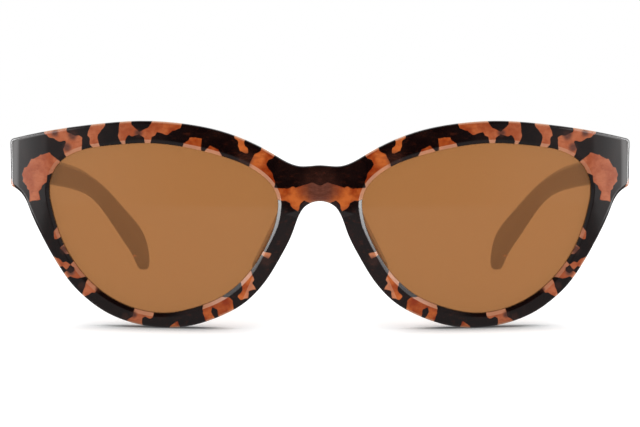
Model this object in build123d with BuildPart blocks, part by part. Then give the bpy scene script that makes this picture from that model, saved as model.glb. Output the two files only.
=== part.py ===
from build123d import *
from math import radians, tan
import os

# Cat eye sunglasses in acetate: a front with two tinted lenses and two nose pads, and two
# temples with metal cores on five-barrel hinges.  Millimetres.  The front faces -Y, +Z is
# up, and the open glasses stand on the rims and the temple tips.  Left is the wearer's
# left, which is +X.  The left pieces are modelled and the right ones are their mirrors.

os.makedirs("parts", exist_ok=True)

# ---- driving dimensions ----
OVERALL_DEPTH = 155.0  # front of the bridge to the rear of the temple tips
FRONT_RADIUS = 190.0  # base curve of the front
FRONT_THICKNESS = 4.0
CURVE_HEIGHT = 24.0  # height of the centre of the base curve, near mid lens
BUTT_DEPTH = 18.0  # flat rear face of the endpieces, behind the bridge
ENDPIECE_INNER = 63.6  # inner side of the thickened endpieces
ENDPIECE_INNER_REAR = 64.5  # the same at the butt face
ENDPIECE_TURN = 15.2  # where that side starts to lean outwards, behind the bridge

LENS_THICKNESS = 2.0
LENS_SETBACK = 1.0  # lens front below the front face of the rims
LENS_BITE = 0.6  # how far the lens edge reaches into its groove
GROOVE_PLAY = 0.05
LENS_BEVEL = 0.5

FRONT_ROUND = 0.9  # rounding of the outer edge, front side
BACK_ROUND = 0.6
LIP_CHAMFER = 0.8  # chamfer round the lens opening, front side
LIP_BACK = 0.3
CORNER_ROUND = 1.1  # endpiece corners seen from the front

BARREL_RADIUS = 1.4
BARREL_HEIGHT = 1.5
BARREL_PLAY = 0.05
BORE_RADIUS = 0.75
SHANK_RADIUS = 0.70
PIN_REACH = 1.7  # pin axis to the endpiece face and to the temple face
LEAF_THICKNESS = 0.9
HINGE_HEIGHT = 37.4  # middle of the five barrels
LEAF_MARGIN = 0.3  # front leaf plate past the barrels, at each end
NECK_OVERLAP = 0.2  # how far a barrel's neck runs into its leaf
STUD_SPACING = 4.0
TEMPLE_STUDS = (0.45, 0.8)  # places of the temple leaf's studs, in leaf lengths
TEMPLE_LEAF_SETBACK = 0.5

NECK_WIDTH = 1.4
STUD_RADIUS = 0.6
STUD_LENGTH = 1.3
FRONT_LEAF_WIDTH = 3.4
TEMPLE_LEAF_LENGTH = 12.5
TEMPLE_LEAF_HEIGHT = 5.4
HEAD_RADIUS = 1.15
HEAD_HEIGHT = 0.75
SLOT_WIDTH = 0.35
SLOT_DEPTH = 0.3

TEMPLE_GAP = 0.2  # open temple to the endpiece
TEMPLE_INNER = 68.3  # inner face of the temple at the hinge
TEMPLE_ROUND = 1.2
BUTT_CHAMFER = 0.25
CORE_RADIUS = 0.7
CORE_PLAY = 0.03
CORE_BEND = 0.45  # how much of the shorter run beside it a bend of the core takes up

# ---- worked out from them ----
BRIDGE_Y = -OVERALL_DEPTH / 2
BUTT_Y = BRIDGE_Y + BUTT_DEPTH
PIN_X = TEMPLE_INNER - PIN_REACH
PIN_Y = BUTT_Y + PIN_REACH
CURVE_CENTRE = (0, BRIDGE_Y + FRONT_RADIUS, CURVE_HEIGHT)
BACK_RADIUS = FRONT_RADIUS - FRONT_THICKNESS
LENS_FRONT_RADIUS = FRONT_RADIUS - LENS_SETBACK
LENS_BACK_RADIUS = LENS_FRONT_RADIUS - LENS_THICKNESS

# Sketches seen from the front are drawn behind it: local x is X, local y is Z, and they
# are extruded forwards, to -Y, right through it.
SKETCH_DEPTH = 30.0
BEHIND = Plane(origin=(0, BRIDGE_Y + SKETCH_DEPTH, 0), x_dir=(1, 0, 0), z_dir=(0, -1, 0))
THROUGH = SKETCH_DEPTH + 10.0
REACH = 100.0  # from the middle, a length that is past every side of the glasses
OVERSHOOT = 2.0  # how far a cutter starts outside what it cuts
LEAST_LIP = 100.0  # edges off the middle and longer than this go round a lens opening
LEAST_RIDGE = 12.0  # edges longer than this run along a temple

# ---- outlines, seen from the front, half of each, from the middle outwards ----
BROW = [
    (4.6, 37.25), (7.1, 38.0), (10.8, 40.1), (15.8, 42.7), (22.6, 45.2),
    (31.8, 46.95), (41.2, 47.5), (50.7, 46.9), (60.5, 45.7), (67.9, 44.4), (72.9, 43.3),
]
CHEEK = [
    (2.1, 28.9), (3.5, 28.0), (4.8, 26.0), (6.3, 21.9), (9.0, 16.5), (12.4, 11.0),
    (14.7, 8.3), (18.0, 5.5), (23.5, 2.6), (29.0, 0.75), (35.0, 0.0), (41.2, 0.5),
    (46.0, 1.75), (50.0, 3.5), (54.0, 6.2), (57.3, 9.2), (60.2, 12.9), (64.6, 20.2),
    (67.8, 26.7), (69.1, 29.5), (70.2, 30.85), (72.55, 32.2),
]
BROW_MIDDLE = (0, 37.45)
ARCH_MIDDLE = (0, 29.33)
LENS_OPENING = [
    (9.5, 27.8), (10.5, 32.3), (13.8, 35.7), (21.9, 39.35), (30.0, 41.35), (39.3, 42.4),
    (48.5, 41.85), (57.1, 40.1), (61.4, 36.9), (63.05, 32.2), (62.4, 27.2), (59.4, 18.6),
    (54.8, 11.9), (49.2, 7.2), (42.7, 4.3), (35.8, 3.4), (29.0, 4.7), (22.3, 7.5),
    (16.7, 12.3), (12.2, 19.1),
]

# ---- nose pads ----
PAD_REAR = 9.6  # rear of the nose pads, behind the bridge
PAD_LEAN = (0.22, 1, 0)
PAD_START = (9.35, BRIDGE_Y, 19.6)
PAD_ALONG = (0.454, 0, -0.891)  # down the nose side
PAD_STRAIGHT = 12.0
PAD_WIDTH = 3.8
PAD_ROUND = 1.8

# ---- sculpted nose side, left ----
NOSE_SLOPE_AT = (7.7, BRIDGE_Y + 0.2, 26.5)
NOSE_SLOPE_NORMAL = (-0.53, -0.784, -0.323)
NOSE_TOP_AT = (7.9, BRIDGE_Y + 0.2, 26.4)
NOSE_TOP_NORMAL = (0.19, 0.6, 0.77)
NOSE_CUT = 60.0
NOSE_CUT_DEPTH = 20.0

# ---- temple outlines; depth is behind the bridge ----
TEMPLE_SIDE = [
    (BUTT_DEPTH + TEMPLE_GAP, 43.0), (30, 41.2), (45, 38.9), (60, 37.2), (79, 35.2),
    (97, 31.9), (110, 28.5), (123, 24.0), (133, 20.0), (141, 16.6), (147.5, 13.2),
    (152.2, 9.2), (154.6, 5.0), (154.9, 2.0), (153.2, 0.1), (150.8, 1.1), (146, 4.7),
    (137, 9.9), (124, 17.0), (111, 23.0), (99, 26.5), (87, 28.4), (76, 29.6), (64, 30.6),
    (50, 31.6), (35, 32.1), (BUTT_DEPTH + TEMPLE_GAP, 32.2),
]
TEMPLE_PLAN_INNER = [
    (TEMPLE_INNER, 34), (67.9, 50), (66.6, 75), (64.2, 100), (60.9, 125), (58.2, 140), (55.3, 157),
]
TEMPLE_PLAN_OUTER = [
    (72.4, 34), (71.9, 50), (70.5, 75), (68.0, 100), (64.5, 125), (61.8, 140), (58.8, 157),
]
CORE_ROUTE = [
    (70.35, 33.5, 36.4), (69.9, 50, 35.2), (68.5, 75, 32.6), (66.1, 100, 28.6),
    (62.7, 125, 19.9), (60.0, 140, 12.6), (58.9, 146, 9.4),
]


def mirrored(points):
    """The same points on the other side of the middle, in reverse order."""
    return [(-x, z) for x, z in reversed(points)]


def grown_opening(amount):
    """The lens opening's points, each moved outwards, square to the outline, by amount."""
    outline = Edge.make_spline([Vector(x, z) for x, z in LENS_OPENING], periodic=True)
    grown = []
    for point in LENS_OPENING:
        along = outline.tangent_at(Vector(*point))
        grown.append((point[0] - along.Y * amount, point[1] + along.X * amount))
    return grown


def on_sphere(edge, radius):
    """True if the whole edge lies on the sphere of that radius about the curve's centre."""
    points = [edge @ share for share in (0, 0.37, 0.71, 1)]
    return all(abs((p - Vector(*CURVE_CENTRE)).length - radius) < 0.01 for p in points)


def barrel_places(*levels):
    """Middles of hinge barrels, counted in barrel heights from the middle one."""
    return [(PIN_X, PIN_Y, HINGE_HEIGHT + level * BARREL_HEIGHT) for level in levels]


def write(piece, name):
    """Label a finished piece and write its STEP file."""
    piece.part.label = name
    export_step(piece.part, f"parts/{name}.step")


# ---- cutters shared by the front and the lenses ----

# Everything behind the front's back face, less the thicker endpieces.
with BuildPart() as back_cutter:
    with Locations(CURVE_CENTRE):
        Sphere(BACK_RADIUS)
    with BuildSketch(Plane.XY.offset(-REACH)):
        with BuildLine():
            Polyline(
                (ENDPIECE_INNER, BRIDGE_Y - OVERSHOOT), (ENDPIECE_INNER, BRIDGE_Y + ENDPIECE_TURN),
                (ENDPIECE_INNER_REAR, BUTT_Y), (ENDPIECE_INNER_REAR, BUTT_Y + OVERSHOOT),
                (REACH, BUTT_Y + OVERSHOOT), (REACH, BRIDGE_Y - OVERSHOOT), close=True,
            )
        make_face()
        mirror(about=Plane.YZ)
    extrude(amount=2 * REACH, mode=Mode.SUBTRACT)

# The lens with its bevelled edge; the groove is the same shape with a little play.
with BuildPart() as lens_left:
    with BuildSketch(BEHIND):
        with BuildLine():
            Spline(*grown_opening(LENS_BITE), periodic=True)
        make_face()
    extrude(amount=THROUGH)
    with Locations(CURVE_CENTRE):
        Sphere(LENS_FRONT_RADIUS, mode=Mode.INTERSECT)
        Sphere(LENS_BACK_RADIUS, mode=Mode.SUBTRACT)
    chamfer(lens_left.edges(), LENS_BEVEL)

with BuildPart() as groove_cutter:
    with BuildSketch(BEHIND):
        with BuildLine():
            Spline(*grown_opening(LENS_BITE + GROOVE_PLAY), periodic=True)
        make_face()
    extrude(amount=THROUGH)
    with Locations(CURVE_CENTRE):
        Sphere(LENS_FRONT_RADIUS + GROOVE_PLAY, mode=Mode.INTERSECT)
        Sphere(LENS_BACK_RADIUS - GROOVE_PLAY, mode=Mode.SUBTRACT)
    chamfer(groove_cutter.edges(), LENS_BEVEL)

# Cutter of the left nose side: a slanted plane, closed above by a second one.
with BuildPart() as nose_cutter:
    with BuildSketch(Plane(origin=NOSE_SLOPE_AT, z_dir=NOSE_SLOPE_NORMAL)):
        Rectangle(NOSE_CUT, NOSE_CUT)
    extrude(amount=NOSE_CUT_DEPTH)
    split(bisect_by=Plane(origin=NOSE_TOP_AT, z_dir=NOSE_TOP_NORMAL), keep=Keep.BOTTOM)
    split(bisect_by=Plane.YZ, keep=Keep.TOP)

# Front leaf of the left hinge: three barrels on a plate with two studs.
with BuildPart() as front_hinge_left:
    with Locations((PIN_X, BUTT_Y, HINGE_HEIGHT)):
        Box(FRONT_LEAF_WIDTH, LEAF_THICKNESS, 5 * BARREL_HEIGHT + 2 * LEAF_MARGIN,
            align=(Align.CENTER, Align.MAX, Align.CENTER))
    with Locations(*[(PIN_X, BUTT_Y, HINGE_HEIGHT + side * STUD_SPACING / 2) for side in (-1, 1)]):
        Cylinder(STUD_RADIUS, LEAF_THICKNESS + STUD_LENGTH, rotation=(90, 0, 0),
                 align=(Align.CENTER, Align.CENTER, Align.MIN))
    with Locations(*barrel_places(-2, 0, 2)):
        Cylinder(BARREL_RADIUS, BARREL_HEIGHT - BARREL_PLAY)
        Box(NECK_WIDTH, PIN_REACH + NECK_OVERLAP, BARREL_HEIGHT - BARREL_PLAY,
            align=(Align.CENTER, Align.MAX, Align.CENTER))
        Cylinder(BORE_RADIUS, BARREL_HEIGHT, mode=Mode.SUBTRACT)

# ---- front frame ----
with BuildPart() as front_frame:
    with BuildSketch(BEHIND) as outline:
        with BuildLine():
            Spline(*mirrored(BROW), BROW_MIDDLE, *BROW)
            Line(BROW[-1], CHEEK[-1])
            Spline(*mirrored(CHEEK), ARCH_MIDDLE, *CHEEK)
            Line((-BROW[-1][0], BROW[-1][1]), (-CHEEK[-1][0], CHEEK[-1][1]))
        make_face()
        fillet(outline.vertices(), CORNER_ROUND)
    extrude(amount=THROUGH)
    with Locations(CURVE_CENTRE):
        Sphere(FRONT_RADIUS, mode=Mode.INTERSECT)
    add(back_cutter.part, mode=Mode.SUBTRACT)
    with Locations((0, BUTT_Y, 0)):
        Box(2 * REACH, REACH, 2 * REACH, align=(Align.CENTER, Align.MIN, Align.CENTER),
            mode=Mode.SUBTRACT)

    # Grooves that hold the lenses.
    add(groove_cutter.part, mode=Mode.SUBTRACT)
    mirror(groove_cutter.part, about=Plane.YZ, mode=Mode.SUBTRACT)

    # The outer edge is rounded in front and behind; the flat butt face keeps its edges.
    front_rim = front_frame.edges().filter_by(lambda e: on_sphere(e, FRONT_RADIUS))
    fillet(front_rim, FRONT_ROUND)
    back_rim = front_frame.edges().filter_by(lambda e: on_sphere(e, BACK_RADIUS) and e.length > 100)
    fillet(back_rim, BACK_ROUND)

    # Lens openings, right through, with a chamfered lip in front.
    with BuildSketch(BEHIND):
        with BuildLine():
            Spline(*LENS_OPENING, periodic=True)
        make_face()
        mirror(about=Plane.YZ)
    extrude(amount=THROUGH, mode=Mode.SUBTRACT)
    lips = front_frame.edges().filter_by(lambda e: e.length > LEAST_LIP and abs(e.center().X) > 1)
    chamfer(lips.filter_by(lambda e: on_sphere(e, FRONT_RADIUS)), LIP_CHAMFER)
    chamfer(lips.filter_by(lambda e: on_sphere(e, BACK_RADIUS)), LIP_BACK)

    # Sculpted nose sides: a slope that faces forwards and towards the nose.
    add(nose_cutter.part, mode=Mode.SUBTRACT)
    mirror(nose_cutter.part, about=Plane.YZ, mode=Mode.SUBTRACT)

    # Seats of the hinge leaves, sunk into the endpieces while the acetate is warm.
    add(front_hinge_left.part, mode=Mode.SUBTRACT)
    mirror(front_hinge_left.part, about=Plane.YZ, mode=Mode.SUBTRACT)
write(front_frame, "front_frame")

# ---- lenses ----
write(lens_left, "lens_left")
with BuildPart() as lens_right:
    mirror(lens_left.part, about=Plane.YZ)
write(lens_right, "lens_right")

# ---- nose pads: acetate, glued behind the nose sides, leaning outwards to the rear ----
with BuildPart() as nose_pad_left:
    with BuildSketch(Plane(origin=PAD_START, x_dir=PAD_ALONG, z_dir=PAD_LEAN)):
        SlotCenterToCenter(PAD_STRAIGHT, PAD_WIDTH)
    extrude(amount=PAD_REAR)
    with Locations(CURVE_CENTRE):
        Sphere(BACK_RADIUS, mode=Mode.INTERSECT)
    fillet(nose_pad_left.edges().group_by(Axis.Y)[-1], PAD_ROUND)
write(nose_pad_left, "nose_pad_left")
with BuildPart() as nose_pad_right:
    mirror(nose_pad_left.part, about=Plane.YZ)
write(nose_pad_right, "nose_pad_right")

# ---- hinges: the front leaves; the temple leaves come below ----
write(front_hinge_left, "front_hinge_left")
with BuildPart() as front_hinge_right:
    mirror(front_hinge_left.part, about=Plane.YZ)
write(front_hinge_right, "front_hinge_right")

with BuildPart() as temple_hinge_left:
    with Locations((TEMPLE_INNER, BUTT_Y + TEMPLE_GAP + TEMPLE_LEAF_SETBACK, HINGE_HEIGHT)):
        Box(
            LEAF_THICKNESS, TEMPLE_LEAF_LENGTH, TEMPLE_LEAF_HEIGHT,
            align=(Align.MIN, Align.MIN, Align.CENTER),
        )
    fillet(temple_hinge_left.edges().filter_by(Axis.X).group_by(Axis.Y)[-1], TEMPLE_LEAF_HEIGHT / 2.5)
    for place in TEMPLE_STUDS:
        with Locations((TEMPLE_INNER, BUTT_Y + TEMPLE_LEAF_LENGTH * place, HINGE_HEIGHT)):
            Cylinder(STUD_RADIUS, LEAF_THICKNESS + STUD_LENGTH, rotation=(0, 90, 0),
                     align=(Align.CENTER, Align.CENTER, Align.MIN))
    with Locations(*barrel_places(-1, 1)):
        Cylinder(BARREL_RADIUS, BARREL_HEIGHT - BARREL_PLAY)
        Box(PIN_REACH + NECK_OVERLAP, NECK_WIDTH, BARREL_HEIGHT - BARREL_PLAY,
            align=(Align.MIN, Align.CENTER, Align.CENTER))
        Cylinder(BORE_RADIUS, BARREL_HEIGHT, mode=Mode.SUBTRACT)
write(temple_hinge_left, "temple_hinge_left")
with BuildPart() as temple_hinge_right:
    mirror(temple_hinge_left.part, about=Plane.YZ)
write(temple_hinge_right, "temple_hinge_right")

# ---- hinge screws, slotted, put in from above and threaded into the lowest barrel ----
with BuildPart() as hinge_screw_left:
    with Locations((PIN_X, PIN_Y, HINGE_HEIGHT)):
        Cylinder(SHANK_RADIUS, 5 * BARREL_HEIGHT - BARREL_PLAY)
    with Locations((PIN_X, PIN_Y, HINGE_HEIGHT + 2.5 * BARREL_HEIGHT - BARREL_PLAY / 2)):
        Cylinder(HEAD_RADIUS, HEAD_HEIGHT, align=(Align.CENTER, Align.CENTER, Align.MIN))
    fillet(hinge_screw_left.edges().group_by(Axis.Z)[-1], HEAD_HEIGHT / 3)
    with Locations(hinge_screw_left.faces().sort_by(Axis.Z)[-1].center()):
        Box(3 * HEAD_RADIUS, SLOT_WIDTH, 2 * SLOT_DEPTH, mode=Mode.SUBTRACT)
    chamfer(hinge_screw_left.edges().group_by(Axis.Z)[0], SHANK_RADIUS / 4)
write(hinge_screw_left, "hinge_screw_left")
with BuildPart() as hinge_screw_right:
    mirror(hinge_screw_left.part, about=Plane.YZ)
write(hinge_screw_right, "hinge_screw_right")

# ---- temple cores: straight runs joined by tangent arcs, down the middle of each temple ----
core_points = [Vector(x, BRIDGE_Y + depth, z) for x, depth, z in CORE_ROUTE]
core_radii = []
for before, corner, after in zip(core_points, core_points[1:], core_points[2:]):
    shorter_run = min((corner - before).length, (after - corner).length)
    half_turn = radians((corner - before).get_angle(after - corner)) / 2
    core_radii.append(CORE_BEND * shorter_run / tan(half_turn))

with BuildPart() as temple_core_left:
    with BuildLine() as core_path:
        FilletPolyline(*core_points, radius=core_radii)
    with BuildSketch(Plane(origin=core_path.line @ 0, z_dir=core_path.line % 0)):
        Circle(CORE_RADIUS)
    sweep()
write(temple_core_left, "temple_core_left")
with BuildPart() as temple_core_right:
    mirror(temple_core_left.part, about=Plane.YZ)
write(temple_core_right, "temple_core_right")

# ---- temples: the side outline met by the plan outline, then rounded all along ----
with BuildPart() as temple_left:
    with BuildSketch(Plane.YZ):
        with BuildLine():
            side = [(BRIDGE_Y + depth, z) for depth, z in TEMPLE_SIDE]
            Spline(*side)
            Line(side[-1], side[0])
        make_face()
    extrude(amount=REACH)
    with BuildSketch(Plane.XY.offset(-REACH)):
        with BuildLine():
            inner = [(x, BRIDGE_Y + depth) for x, depth in TEMPLE_PLAN_INNER]
            outer = [(x, BRIDGE_Y + depth) for x, depth in TEMPLE_PLAN_OUTER]
            Line((TEMPLE_INNER, BUTT_Y), inner[0])
            Spline(*inner, tangents=[(0, 1), Vector(*inner[-1]) - Vector(*inner[-2])])
            Line(inner[-1], outer[-1])
            Spline(*outer, tangents=[(0, 1), Vector(*outer[-1]) - Vector(*outer[-2])])
            Line(outer[0], (outer[0][0], BUTT_Y))
            Line((outer[0][0], BUTT_Y), (TEMPLE_INNER, BUTT_Y))
        make_face()
    extrude(amount=2 * REACH, mode=Mode.INTERSECT)
    ridges = temple_left.edges().filter_by(lambda e: e.length > LEAST_RIDGE)
    fillet(ridges.filter_by(lambda e: abs(e.tangent_at(0.5).X) < 0.5), TEMPLE_ROUND)
    chamfer(temple_left.faces().sort_by(Axis.Y)[0].edges(), BUTT_CHAMFER)

    add(temple_hinge_left.part, mode=Mode.SUBTRACT)
    with BuildLine() as cavity_path:
        FilletPolyline(*core_points, radius=core_radii)
    with BuildSketch(Plane(origin=cavity_path.line @ 0, z_dir=cavity_path.line % 0)):
        Circle(CORE_RADIUS + CORE_PLAY)
    sweep(mode=Mode.SUBTRACT)
write(temple_left, "temple_left")
with BuildPart() as temple_right:
    mirror(temple_left.part, about=Plane.YZ)
write(temple_right, "temple_right")
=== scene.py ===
import math

import bpy
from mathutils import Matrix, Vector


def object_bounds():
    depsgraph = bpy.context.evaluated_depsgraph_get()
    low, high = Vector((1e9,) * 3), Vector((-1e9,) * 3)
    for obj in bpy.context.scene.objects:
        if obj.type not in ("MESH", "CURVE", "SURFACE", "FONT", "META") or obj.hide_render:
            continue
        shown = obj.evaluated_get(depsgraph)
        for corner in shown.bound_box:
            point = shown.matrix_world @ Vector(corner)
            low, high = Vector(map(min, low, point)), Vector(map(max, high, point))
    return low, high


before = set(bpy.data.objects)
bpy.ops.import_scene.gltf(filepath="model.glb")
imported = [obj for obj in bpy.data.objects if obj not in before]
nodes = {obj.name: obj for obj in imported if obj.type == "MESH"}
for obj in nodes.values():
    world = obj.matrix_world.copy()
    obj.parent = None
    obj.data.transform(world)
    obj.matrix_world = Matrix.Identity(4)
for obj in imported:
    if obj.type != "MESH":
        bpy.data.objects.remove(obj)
cad_low, cad_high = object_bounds()
scene = bpy.context.scene

# ---- Where the glasses are seen from ----
# A long lens, square on to the front and a little above it, about a third of a metre
# away, aimed just above mid height.
camera_distance = 0.340
camera_height = 0.0448
aim_height = 0.0266
camera_data = bpy.data.cameras.new("camera")
camera_data.sensor_width = 36.0
camera_data.lens = 85.0
camera_data.clip_start = 0.01
camera = bpy.data.objects.new("camera", camera_data)
scene.collection.objects.link(camera)
camera.location = (0, cad_low.y - camera_distance, camera_height)
camera.rotation_euler = (math.radians(90) - math.atan2(camera_height - aim_height, camera_distance), 0, 0)
scene.camera = camera
scene.view_settings.view_transform = "Standard"
scene.view_settings.look = "None"


# ---- The white studio ----
# Even white light from everywhere, as in a light tent.  The gloss sees a dark room in front
# and the white backdrop behind, so the silhouettes get thin light lines.
def wire(tree, kind, inputs, **settings):
    """Adds a shader node, sets its settings, and fills its inputs with values or other outputs."""
    node = tree.nodes.new("ShaderNode" + kind)
    for name, value in settings.items():
        setattr(node, name, value)
    for name, value in inputs.items():
        if isinstance(value, bpy.types.NodeSocket):
            tree.links.new(value, node.inputs[name])
        else:
            node.inputs[name].default_value = value
    return node


def sums(tree, operation, *values):
    """One Math node over values and sockets, and its output."""
    return wire(tree, "Math", dict(enumerate(values)), operation=operation).outputs[0]


def ramp(tree, value, start, end, low=0.0, high=1.0):
    """A smooth step of value from low at start to high at end."""
    filled = {"Value": value, "From Min": start, "From Max": end, "To Min": low, "To Max": high}
    return wire(tree, "MapRange", filled, interpolation_type="SMOOTHSTEP").outputs[0]


white_light = (1, 1, 1, 1)
world = bpy.data.worlds.new("white studio")
scene.world = world
world.use_nodes = True
sky = world.node_tree
sky.nodes.clear()
direction = wire(sky, "TexCoord", {}).outputs["Generated"]
parts = wire(sky, "SeparateXYZ", {0: direction}).outputs
sideways = ramp(sky, sums(sky, "ABSOLUTE", parts["X"]), 0.35, 0.75, 0.03, 0.45)
backdrop = ramp(sky, parts["Y"], 0.10, 0.45, 0.0, 1.0)
gloss_light = sums(sky, "ADD", sideways, backdrop)
path = wire(sky, "LightPath", {}).outputs
gloss = wire(sky, "Background", {"Color": white_light, "Strength": gloss_light})
even = wire(sky, "Background", {"Color": white_light, "Strength": 1.1})
white = wire(sky, "Background", {"Color": white_light, "Strength": 1.0})
seen = sums(sky, "MAXIMUM", path["Is Camera Ray"], path["Is Transmission Ray"])
lit = wire(sky, "MixShader", {0: path["Is Glossy Ray"], 1: even.outputs[0], 2: gloss.outputs[0]})
mixed = wire(sky, "MixShader", {0: seen, 1: lit.outputs[0], 2: white.outputs[0]})
wire(sky, "OutputWorld", {0: mixed.outputs[0]})


def empty_material(name):
    """A new node material with nothing in it."""
    material = bpy.data.materials.new(name)
    material.use_nodes = True
    material.node_tree.nodes.clear()
    return material


def stage_card(name, corners, material):
    """A flat card of four corners that belongs to the studio and not to the glasses."""
    mesh = bpy.data.meshes.new(name)
    mesh.from_pydata(corners, [], [(0, 1, 2, 3)])
    mesh.materials.append(material)
    flat_card = bpy.data.objects.new(name, mesh)
    scene.collection.objects.link(flat_card)
    return flat_card


# The table: matt white card, wide enough to pass for the horizon.  Its tone and faint glow are
# greyed close under what stands on it, a painted contact shadow; the gloss sees it darker than it is.
floor_half = 4.0
shadow_reach = 0.014
white_card = empty_material("white card")
tree = white_card.node_tree
openness = wire(tree, "AmbientOcclusion", {"Distance": shadow_reach}, samples=8).outputs["AO"]
# Painted contact shadow: the card's tone and glow grey with ambient occlusion close under the glasses.
card_painted_shadow = ramp(tree, openness, 0.30, 0.92, 0.20, 0.97)
card_paper = wire(tree, "BsdfDiffuse", {"Color": card_painted_shadow})
card_glow = wire(tree, "Emission", {"Color": card_painted_shadow, "Strength": 0.28})
card_lit = wire(tree, "AddShader", {0: card_paper.outputs[0], 1: card_glow.outputs[0]})
card_path = wire(tree, "LightPath", {}).outputs
mirrored_tone = ramp(tree, card_path["Is Transmission Ray"], 0.0, 1.0, 0.33, 1.0)
mirrored = wire(tree, "Emission", {"Color": white_light, "Strength": mirrored_tone})
card_mixed = wire(tree, "MixShader", {
    0: card_path["Is Glossy Ray"], 1: card_lit.outputs[0], 2: mirrored.outputs[0],
})
wire(tree, "OutputMaterial", {0: card_mixed.outputs[0]})
floor_corners = [(x * floor_half, y * floor_half, 0) for x, y in ((-1, -1), (1, -1), (1, 1), (-1, 1))]
stage_card("studio_floor", floor_corners, white_card)

# Two tall soft panels close to the ends of the front, seen only in the gloss.  Their light
# grows towards the rear, so the endpieces shade from dark to a bright line at their ends,
# and a strong strip at the very rear draws the thin line on the nose side of each lens.
panel_side = 0.2
panel_front = -0.18
panel_rear = -0.03
panel_top = 0.24
soft_panel = empty_material("soft panel")
tree = soft_panel.node_tree
panel_place = wire(tree, "TexCoord", {}).outputs["Object"]
panel_axes = wire(tree, "SeparateXYZ", {0: panel_place}).outputs
wide_light = ramp(tree, panel_axes["Y"], panel_front, -0.11, 0.9, 4.6)
wide_light = sums(tree, "MULTIPLY", wide_light, ramp(tree, panel_axes["Y"], -0.10, -0.08, 1.0, 0.3))
strip_light = ramp(tree, panel_axes["Y"], -0.072, -0.056, 0.0, 14.0)
top_fade = ramp(tree, panel_axes["Z"], panel_top, 0.16)
panel_light = sums(tree, "MULTIPLY", sums(tree, "ADD", wide_light, strip_light), top_fade)
panel_glow = wire(tree, "Emission", {"Color": white_light, "Strength": panel_light})
wire(tree, "OutputMaterial", {0: panel_glow.outputs[0]})
panel_outline = ((panel_front, 0), (panel_rear, 0), (panel_rear, panel_top), (panel_front, panel_top))
for side in (-1, 1):
    panel_corners = [(panel_side * side, y, z) for y, z in panel_outline]
    side_panel = stage_card("side_panel", panel_corners, soft_panel)
    side_panel.visible_camera = False
    side_panel.visible_diffuse = False
    side_panel.visible_transmission = False
    side_panel.visible_shadow = False

# ---- Tortoiseshell acetate sheet ----
# Amber cellulose acetate with dark brown patches laid through its whole thickness, milled
# and tumbled to a high gloss.  The front's sheet is bookmatched about the bridge.
def new_group(name, inputs, outputs):
    """A shader node group with named sockets; returns it with its input and output nodes."""
    group = bpy.data.node_groups.new(name, "ShaderNodeTree")
    for socket, kind in inputs:
        group.interface.new_socket(name=socket, in_out="INPUT", socket_type=kind)
    for socket, kind in outputs:
        group.interface.new_socket(name=socket, in_out="OUTPUT", socket_type=kind)
    return group, group.nodes.new("NodeGroupInput").outputs, group.nodes.new("NodeGroupOutput").inputs


def in_millimetres(tree, point, shift=(0, 0, 0)):
    """A point of the object in millimetres, shifted, as a vector."""
    scale = (1000, 1000, 1000)
    return wire(tree, "VectorMath", {0: point, 1: scale, 2: shift}, operation="MULTIPLY_ADD").outputs[0]


def mirrored_across(tree, point):
    """The point with its X made positive, so both sides are bookmatched."""
    axes = wire(tree, "SeparateXYZ", {0: point}).outputs
    across = sums(tree, "ABSOLUTE", axes["X"])
    return wire(tree, "CombineXYZ", {0: across, 1: axes["Y"], 2: axes["Z"]}).outputs[0]


def stirred(tree, noise, reach, start):
    """The start point pushed about by the noise's colours, by up to half of reach."""
    half = (0.5, 0.5, 0.5)
    centred = wire(tree, "VectorMath", {0: noise.outputs["Color"], 1: half}, operation="SUBTRACT").outputs[0]
    return wire(tree, "VectorMath", {0: centred, 1: reach, 2: start}, operation="MULTIPLY_ADD").outputs[0]


def nearest(tree, point, places):
    """Distance from point to the nearest of the places, with its creases rounded a little."""
    crease = 0.6
    least = None
    for x, z in places:
        reach = wire(tree, "VectorMath", {0: point, 1: (x, 0, z)}, operation="DISTANCE").outputs["Value"]
        least = reach if least is None else sums(tree, "SMOOTH_MIN", least, reach, crease)
    return least
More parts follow.
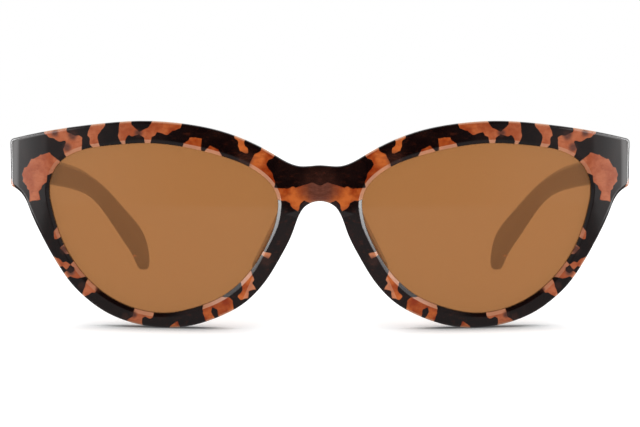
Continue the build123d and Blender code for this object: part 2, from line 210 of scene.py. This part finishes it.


# Places on one half of the sheet, in millimetres from the bridge's middle and above the table.
# A point of the front takes the colour of the nearest of them.
amber_places = [
    (0.6, 31.2), (2.2, 32.2), (2.4, 30.4), (4.2, 31.6), (8.8, 31.4), (6.5, 31.2), (5.0, 29.8),
    (8.9, 30.6), (6.8, 30.2), (5.6, 28.9), (11.2, 33.9), (11.7, 35.3), (12.5, 36.6),
    (12.9, 38.3), (11.1, 39.9), (13.8, 37.4), (12.6, 40.3), (14.6, 38.9), (13.6, 39.6),
    (16.9, 40.8), (17.6, 41.5), (17.7, 42.6), (18.6, 43.8), (24.6, 40.8), (27.7, 42.3),
    (28.7, 42.8), (30.2, 41.9), (32.6, 46.6), (34.6, 46.4), (34.8, 45.1), (37.0, 46.6),
    (36.4, 45.6), (38.2, 45.4), (38.3, 44.5), (39.3, 43.5), (40.2, 44.6), (42.6, 44.7),
    (43.3, 45.7), (45.2, 46.2), (45.2, 43.7), (44.1, 46.8), (44.6, 44.7), (50.4, 46.4),
    (51.9, 45.6), (52.5, 44.2), (52.4, 42.9), (51.2, 47.0), (56.0, 43.1), (57.8, 43.7),
    (56.0, 41.9), (59.8, 44.2), (62.2, 44.5), (58.4, 41.2), (60.0, 45.9), (63.2, 45.4),
    (57.0, 41.6), (60.4, 43.6), (62.4, 38.6), (63.4, 38.8), (65.2, 38.2), (67.0, 36.9),
    (68.4, 35.4), (63.4, 36.6), (65.0, 36.2), (64.9, 34.0), (66.4, 34.4), (68.2, 33.6),
    (67.2, 32.2), (66.1, 32.4), (67.0, 30.6), (66.4, 29.9), (72.6, 32.7), (61.0, 21.2),
    (59.4, 17.9), (60.6, 14.5), (58.8, 14.0), (56.8, 14.4), (56.0, 13.0), (55.4, 12.0),
    (57.0, 11.8), (58.8, 11.8), (52.4, 8.9), (53.6, 8.4), (53.1, 9.6), (39.2, 3.1),
    (41.0, 3.3), (42.2, 2.4), (42.0, 1.2), (43.4, 1.4), (32.8, 0.6), (20.8, 6.4),
    (22.2, 5.6), (23.6, 5.6), (25.6, 4.5), (22.6, 4.3), (25.4, 3.2), (20.6, 5.2),
    (16.0, 11.6), (16.0, 9.8), (17.0, 8.3), (17.6, 7.6), (12.2, 17.2),
]
dark_places = [
    (1.0, 36.2), (3.4, 35.6), (0.6, 34.8), (3.0, 34.4), (5.0, 33.7), (7.0, 33.6), (8.9, 33.3),
    (6.0, 35.0), (8.6, 36.4), (9.6, 34.6), (9.8, 36.2), (10.9, 37.6), (10.0, 38.2),
    (9.5, 39.1), (3.4, 28.2), (7.7, 28.3), (9.1, 28.6), (6.9, 26.9), (14.4, 41.0),
    (15.4, 42.0), (16.5, 42.3), (15.6, 40.9), (15.9, 39.4), (16.8, 39.3), (17.4, 39.9),
    (15.4, 43.1), (19.2, 42.6), (19.0, 41.0), (20.2, 43.9), (21.5, 42.0), (23.8, 42.4),
    (24.0, 43.6), (26.0, 42.2), (26.0, 45.3), (27.4, 44.6), (28.8, 44.5), (30.4, 46.2),
    (31.8, 44.6), (33.0, 43.6), (30.9, 43.3), (31.9, 42.6), (36.7, 43.9), (35.4, 43.5),
    (34.0, 44.0), (37.8, 43.3), (39.9, 46.9), (41.6, 46.7), (40.9, 46.1), (42.3, 46.9),
    (40.9, 43.3), (42.2, 43.4), (43.6, 43.3), (47.0, 46.4), (47.6, 44.6), (49.2, 45.3),
    (49.9, 43.6), (46.8, 43.0), (48.3, 46.6), (54.2, 46.3), (54.6, 44.8), (56.0, 45.2),
    (53.8, 42.8), (54.0, 41.6), (57.4, 45.3), (60.0, 41.9), (61.2, 42.2), (62.6, 42.6),
    (64.0, 43.3), (65.4, 44.4), (64.0, 41.0), (68.0, 42.0), (70.5, 40.0), (72.0, 37.0),
    (60.6, 40.3), (61.5, 40.0), (66.4, 40.2), (69.0, 38.2), (70.6, 36.0), (70.8, 34.0),
    (71.4, 33.2), (69.6, 32.2), (68.6, 30.4), (62.2, 33.8), (63.4, 31.8), (64.4, 30.4),
    (66.0, 28.2), (63.8, 27.0), (63.5, 24.0), (62.6, 21.0), (60.6, 19.0), (60.3, 17.0),
    (62.8, 22.6), (59.8, 20.0), (61.4, 18.8), (58.0, 15.2), (59.6, 15.6), (57.8, 13.2),
    (59.7, 13.0), (58.2, 10.5), (57.2, 10.7), (55.2, 10.6), (60.6, 12.9), (50.9, 7.8),
    (52.8, 6.8), (55.6, 9.2), (49.0, 5.0), (46.5, 4.2), (45.0, 2.6), (40.0, 1.6),
    (38.4, 1.4), (37.4, 3.0), (44.0, 3.0), (36.0, 1.2), (33.8, 2.0), (31.8, 0.9),
    (30.0, 3.6), (27.8, 4.6), (27.4, 2.4), (24.0, 4.1), (19.6, 7.8), (18.7, 8.8),
    (18.9, 6.5), (18.8, 5.4), (21.0, 8.6), (14.2, 12.4), (14.2, 10.6), (15.6, 8.0),
    (13.0, 14.6), (12.6, 11.4), (17.2, 6.4), (10.6, 16.3), (11.8, 18.3), (10.4, 18.8),
    (12.9, 16.2), (9.0, 22.0), (8.0, 24.6),
]
# Thin brown veils over both: place, then reach of their soft edge.
veil_places = [
    (0.0, 32.4, 6.4), (16.8, 38.8, 2.6), (58.6, 41.4, 1.6), (61.6, 44.6, 1.3), (41.5, 44.7, 1.4),
    (42.9, 3.0, 1.2), (44.9, 2.4, 1.3), (57.8, 12.6, 1.5), (12.2, 15.6, 1.8), (51.3, 8.6, 1.0),
    (55.2, 9.4, 1.2), (57.2, 44.3, 1.8), (59.4, 17.6, 1.6),
]

sheet_mm, sheet_in, sheet_out = new_group(
    "bookmatched sheet",
    [("Point", "NodeSocketVector")],
    [("Amber", "NodeSocketFloat"), ("Veil", "NodeSocketFloat"), ("Place", "NodeSocketVector")],
)
place = in_millimetres(sheet_mm, mirrored_across(sheet_mm, sheet_in["Point"]))
tremble = place
for size, strength in ((0.45, 0.6), (1.4, 0.12)):
    noise = wire(sheet_mm, "TexNoise", {"Vector": place, "Scale": size, "Detail": 2.0, "Roughness": 0.5})
    tremble = stirred(sheet_mm, noise, (strength, 0, strength), tremble)
flat = wire(sheet_mm, "VectorMath", {0: tremble, 1: (1, 0, 1)}, operation="MULTIPLY").outputs[0]
to_dark = nearest(sheet_mm, flat, dark_places)
to_amber = nearest(sheet_mm, flat, amber_places)
lead = sums(sheet_mm, "SUBTRACT", to_dark, to_amber)
sheet_mm.links.new(ramp(sheet_mm, lead, -0.16, 0.16), sheet_out["Amber"])
veil = None
for x, z, half in veil_places:
    reach = wire(sheet_mm, "VectorMath", {0: flat, 1: (x, 0, z)}, operation="DISTANCE").outputs["Value"]
    cover = ramp(sheet_mm, reach, half, half * 0.25)
    veil = cover if veil is None else sums(sheet_mm, "MAXIMUM", veil, cover)
sheet_mm.links.new(veil, sheet_out["Veil"])
sheet_mm.links.new(place, sheet_out["Place"])

# Colour, gloss and polish of the acetate from its masks.  Edge is 1 where the surface turns
# away from the sheet's face: there the amber is painted paler, a painted glow for light that gets in from
# the side.
acetate, acetate_in, acetate_out = new_group(
    "polished acetate",
    [("Place", "NodeSocketVector"), ("Amber", "NodeSocketFloat"), ("Veil", "NodeSocketFloat"),
     ("Edge", "NodeSocketFloat"), ("Warmth", "NodeSocketFloat")],
    [("Color", "NodeSocketColor"), ("Roughness", "NodeSocketFloat"), ("Height", "NodeSocketFloat")],
)


def blend_colour(tree, share, first, second):
    """Mixes two colours, or sockets, by share."""
    return wire(tree, "Mix", {0: share, 6: first, 7: second}, data_type="RGBA").outputs[2]


def speckle(tree, place, size, detail=3.0, stretch=(1, 1, 1), rough=0.55):
    """Noise at size cells per millimetre, stretched, as a value."""
    scaled = wire(tree, "VectorMath", {0: place, 1: stretch}, operation="MULTIPLY").outputs[0]
    noise = wire(tree, "TexNoise", {"Vector": scaled, "Scale": size, "Detail": detail, "Roughness": rough})
    return noise.outputs["Fac"]


cloud = speckle(acetate, acetate_in["Place"], 0.22)
fibre = speckle(acetate, acetate_in["Place"], 1.3, 4.0, (0.45, 0.6, 1.2), 0.65)
grain = speckle(acetate, acetate_in["Place"], 4.0, 2.0)
deep = blend_colour(acetate, acetate_in["Warmth"], (0.30, 0.060, 0.018, 1), (0.22, 0.022, 0.0012, 1))
pale = blend_colour(acetate, acetate_in["Warmth"], (0.42, 0.120, 0.050, 1), (0.50, 0.115, 0.022, 1))
amber = blend_colour(acetate, ramp(acetate, cloud, 0.36, 0.66), deep, pale)
amber = blend_colour(acetate, ramp(acetate, fibre, 0.46, 0.72, 0.0, 0.45), amber, (0.20, 0.034, 0.008, 1))
amber = blend_colour(acetate, ramp(acetate, grain, 0.55, 0.80, 0.0, 0.25), amber, (0.50, 0.20, 0.095, 1))
# Painted light: the amber is painted paler where the surface turns away, for light shining through the
# edges.
amber = blend_colour(acetate, acetate_in["Edge"], amber, (0.62, 0.33, 0.20, 1))
brown = (0.085, 0.026, 0.016, 1)
light_brown = (0.13, 0.042, 0.026, 1)
veil_tone = blend_colour(acetate, ramp(acetate, fibre, 0.35, 0.65), brown, light_brown)
near_black = (0.0035, 0.0006, 0.0006, 1)
dark_brown = (0.0095, 0.0028, 0.0020, 1)
dark = blend_colour(acetate, ramp(acetate, cloud, 0.35, 0.75), near_black, dark_brown)
ember = sums(acetate, "MULTIPLY", ramp(acetate, fibre, 0.54, 0.72, 0.0, 0.6), acetate_in["Warmth"])
dark = blend_colour(acetate, ember, dark, (0.045, 0.008, 0.003, 1))
amber = blend_colour(acetate, acetate_in["Veil"], amber, veil_tone)
dark = blend_colour(acetate, sums(acetate, "MULTIPLY", acetate_in["Veil"], 0.18), dark, veil_tone)
tone = blend_colour(acetate, acetate_in["Amber"], dark, amber)
acetate.links.new(tone, acetate_out["Color"])
smear = speckle(acetate, acetate_in["Place"], 0.09, 4.0)
hairline = speckle(acetate, acetate_in["Place"], 5.0, 2.0, (1.0, 1.0, 0.3))
worn = sums(acetate, "MULTIPLY_ADD", acetate_in["Edge"], 0.04, ramp(acetate, smear, 0.40, 0.75, 0.055, 0.11))
acetate.links.new(sums(acetate, "MULTIPLY_ADD", hairline, 0.015, worn), acetate_out["Roughness"])
sink = sums(acetate, "MULTIPLY", acetate_in["Amber"], 0.35)
acetate.links.new(sums(acetate, "MULTIPLY_ADD", hairline, 0.04, sink), acetate_out["Height"])


def gloss_finish(tree, colours, **form):
    """The acetate's shader: the group's values on a glossy dielectric, with its polish as bump.
    The form may hold a Normal that the polish lies on."""
    polish_depth = 0.00002
    polish = {"Strength": 0.5, "Distance": polish_depth, "Height": colours["Height"], **form}
    bump = wire(tree, "Bump", polish)
    shader = wire(tree, "BsdfPrincipled", {
        "Base Color": colours["Color"], "Roughness": colours["Roughness"], "IOR": 1.49,
        "Normal": bump.outputs[0],
    })
    wire(tree, "OutputMaterial", {0: shader.outputs[0]})


def dress(node_name, material):
    """Gives a CAD node that material alone."""
    slots = nodes[node_name].data.materials
    slots.clear()
    slots.append(material)


# ---- Front frame ----
# One piece milled from bookmatched tortoiseshell sheet, heated and bent to its curve, then
# tumbled and polished.  Its amber glows warmer near the bridge.
front_acetate = empty_material("front acetate")
tree = front_acetate.node_tree
coordinates = wire(tree, "TexCoord", {}).outputs
sheet = wire(tree, "Group", {"Point": coordinates["Object"]}, node_tree=sheet_mm).outputs
turned = wire(tree, "SeparateXYZ", {0: coordinates["Normal"]}).outputs["Y"]
# Where the surface turns from the front, the acetate group paints the amber paler: painted light through the
# edges.
rim_edge = ramp(tree, sums(tree, "ABSOLUTE", turned), 0.93, 0.60)
across = wire(tree, "SeparateXYZ", {0: sheet["Place"]}).outputs["X"]
warmth = ramp(tree, across, 44.0, 28.0)
colours = wire(tree, "Group", {
    "Place": sheet["Place"], "Amber": sheet["Amber"], "Veil": sheet["Veil"],
    "Edge": sums(tree, "MULTIPLY", rim_edge, 0.75), "Warmth": warmth,
}, node_tree=acetate).outputs

# Tumbling has rounded its edges and domed the endpieces towards their ends.
edge_round = 0.0003
dome_depth = 0.0009
rounded = wire(tree, "Bevel", {"Radius": edge_round}, samples=6).outputs[0]
dome = sums(tree, "SUBTRACT", 1.0, ramp(tree, across, 70.4, 76.0))
domed = wire(tree, "Bump", {"Strength": 1.0, "Distance": dome_depth, "Height": dome, "Normal": rounded})
gloss_finish(tree, colours, Normal=domed.outputs[0])
dress("front_frame", front_acetate)

# ---- Temples and nose pads ----
# The temples are cut from a darker block of the same acetate, with few amber patches, around
# their wire cores.  The pads are buttons of the amber stock, cemented on behind the nose.
cut_sheet, cut_in, cut_out = new_group(
    "cut sheet",
    [("Point", "NodeSocketVector"), ("Shift", "NodeSocketVector"), ("Darkness", "NodeSocketFloat")],
    [("Amber", "NodeSocketFloat"), ("Veil", "NodeSocketFloat"), ("Place", "NodeSocketVector")],
)
place = in_millimetres(cut_sheet, mirrored_across(cut_sheet, cut_in["Point"]), cut_in["Shift"])
noise = wire(cut_sheet, "TexNoise", {"Vector": place, "Scale": 0.35, "Detail": 3.0})
bent = stirred(cut_sheet, noise, (2.4, 2.4, 2.4), place)
patches = speckle(cut_sheet, bent, 0.115, 1.0, (1.0, 0.75, 1.15), 0.4)
amber_share = ramp(cut_sheet, sums(cut_sheet, "SUBTRACT", patches, cut_in["Darkness"]), -0.006, 0.006)
cut_sheet.links.new(amber_share, cut_out["Amber"])
veils = speckle(cut_sheet, bent, 0.16, 1.0, (1.2, 0.7, 1.0), 0.4)
cut_sheet.links.new(ramp(cut_sheet, veils, 0.60, 0.64), cut_out["Veil"])
cut_sheet.links.new(place, cut_out["Place"])


def cut_acetate(name, shift, darkness):
    """Acetate cut from the larger-patterned block at that shift, with its flat faces sideways."""
    material = empty_material(name)
    tree = material.node_tree
    coordinates = wire(tree, "TexCoord", {}).outputs
    sheet = wire(tree, "Group", {"Point": coordinates["Object"], "Shift": shift, "Darkness": darkness},
                 node_tree=cut_sheet).outputs
    turned = wire(tree, "SeparateXYZ", {0: coordinates["Normal"]}).outputs["X"]
    # Where the surface turns from the flat sides, the amber is painted paler: painted light through the
    # edges.
    edge = ramp(tree, sums(tree, "ABSOLUTE", turned), 0.92, 0.55, 0.0, 0.6)
    colours = wire(tree, "Group", {
        "Place": sheet["Place"], "Amber": sheet["Amber"], "Veil": sheet["Veil"], "Edge": edge, "Warmth": 0.0,
    }, node_tree=acetate).outputs
    gloss_finish(tree, colours)
    return material


temple_acetate = cut_acetate("temple acetate", (11.0, 4.0, 7.0), 0.76)
pad_acetate = cut_acetate("pad acetate", (3.0, 9.0, 2.0), 0.50)
for side in ("left", "right"):
    dress(f"temple_{side}", temple_acetate)
    dress(f"nose_pad_{side}", pad_acetate)

# ---- Lenses ----
# Solid-tinted brown plastic, ground and polished, the same depth of colour all over, and
# snapped into the grooves of the front.
lens_tint = empty_material("lens tint")
tree = lens_tint.node_tree
coordinates = wire(tree, "TexCoord", {}).outputs
place = in_millimetres(tree, coordinates["Object"])
dust = ramp(tree, speckle(tree, place, 0.05, 4.0), 0.35, 0.80, 0.0, 0.004)
deeper_tint = (0.455, 0.202, 0.0690, 1)
lighter_tint = (0.463, 0.206, 0.0705, 1)
body_tone = blend_colour(tree, speckle(tree, place, 0.02, 1.0), deeper_tint, lighter_tint)
shader = wire(tree, "BsdfPrincipled", {
    "Base Color": body_tone, "Roughness": dust, "IOR": 1.5, "Transmission Weight": 0.72,
    "Specular IOR Level": 0.05,
})
wire(tree, "OutputMaterial", {0: shader.outputs[0]})
for side in ("left", "right"):
    dress(f"lens_{side}", lens_tint)

# ---- Hinges, screws and cores ----
# Nickel silver hinges pressed from bar and tumbled, turned steel screws, and drawn wire
# cores that are out of sight inside the temples.


def bare_metal(name, colour, stretch, scratch_size, rough_low, rough_high):
    """Metal with fine scratches that run along the axis where stretch is smallest."""
    material = empty_material(name)
    tree = material.node_tree
    coordinates = wire(tree, "TexCoord", {}).outputs
    place = in_millimetres(tree, coordinates["Object"])
    scratch = speckle(tree, place, scratch_size, 4.0, stretch, 0.7)
    stain = speckle(tree, place, 0.6, 3.0)
    tarnished = tuple(0.72 * part for part in colour[:3]) + (1,)
    tone = blend_colour(tree, ramp(tree, stain, 0.35, 0.75), colour, tarnished)
    roughness = ramp(tree, scratch, 0.3, 0.7, rough_low, rough_high)
    bump = wire(tree, "Bump", {"Strength": 0.35, "Distance": 0.00002, "Height": scratch})
    shader = wire(tree, "BsdfPrincipled", {
        "Base Color": tone, "Metallic": 1.0, "Roughness": roughness, "Normal": bump.outputs[0],
    })
    wire(tree, "OutputMaterial", {0: shader.outputs[0]})
    return material


hinge_metal = bare_metal("nickel silver", (0.66, 0.62, 0.55, 1), (1.0, 1.0, 0.15), 6.0, 0.24, 0.42)
screw_metal = bare_metal("turned steel", (0.70, 0.70, 0.69, 1), (0.2, 0.2, 1.0), 9.0, 0.16, 0.30)
core_metal = bare_metal("drawn wire", (0.62, 0.58, 0.50, 1), (1.0, 0.1, 1.0), 5.0, 0.22, 0.36)
for side in ("left", "right"):
    dress(f"front_hinge_{side}", hinge_metal)
    dress(f"temple_hinge_{side}", hinge_metal)
    dress(f"hinge_screw_{side}", screw_metal)
    dress(f"temple_core_{side}", core_metal)
